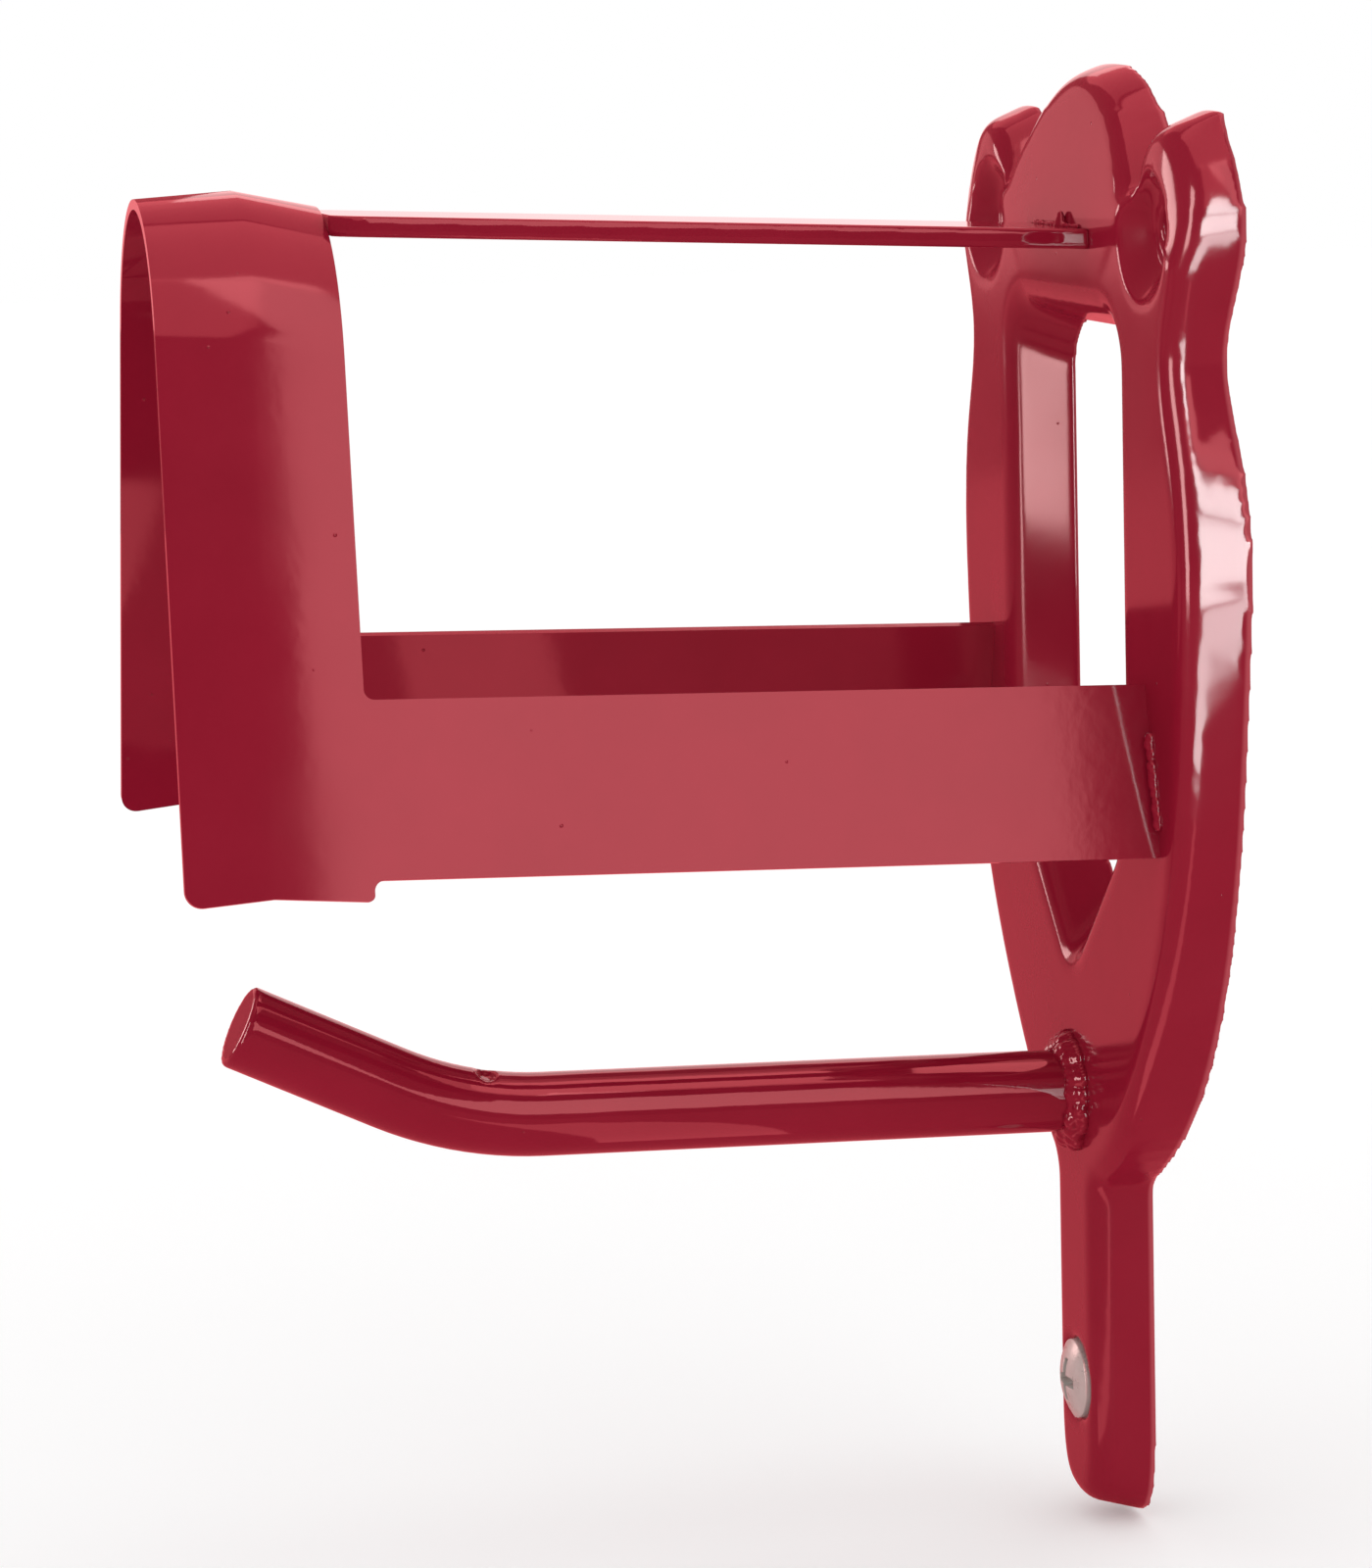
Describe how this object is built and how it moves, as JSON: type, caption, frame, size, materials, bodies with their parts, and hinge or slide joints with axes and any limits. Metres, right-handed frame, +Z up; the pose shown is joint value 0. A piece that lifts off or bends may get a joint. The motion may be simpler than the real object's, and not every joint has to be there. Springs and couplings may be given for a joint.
{
  "type": "bridle hanger",
  "caption": "Wall-mounted bridle hanger of red powder-coated steel: pressed plate with lobes and slot, arched cradle on two arms, top strap and an upturned round-bar hook.",
  "frame": {"origin": "on the wall plane, on the axis of the lower screw hole in the tongue", "axes": "+X to the right as seen from the room, +Y into the wall, +Z up; the cradle and the hook stand out along -Y"},
  "size_m": [0.092, 0.1207, 0.1814],
  "materials": {
    "red_coat": "gloss powder coat",
    "zinc_screw": "zinc plated"
  },
  "bodies": {
    "root": {"back_plate": "red_coat", "cradle": "red_coat", "top_strap": "red_coat", "hook_bar": "red_coat", "lower_screw": "zinc_screw", "hook_weld": "red_coat", "left_arm_weld": "red_coat", "right_arm_weld": "red_coat", "strap_rear_weld": "red_coat", "strap_front_weld": "red_coat"}
  },
  "joints": []
}
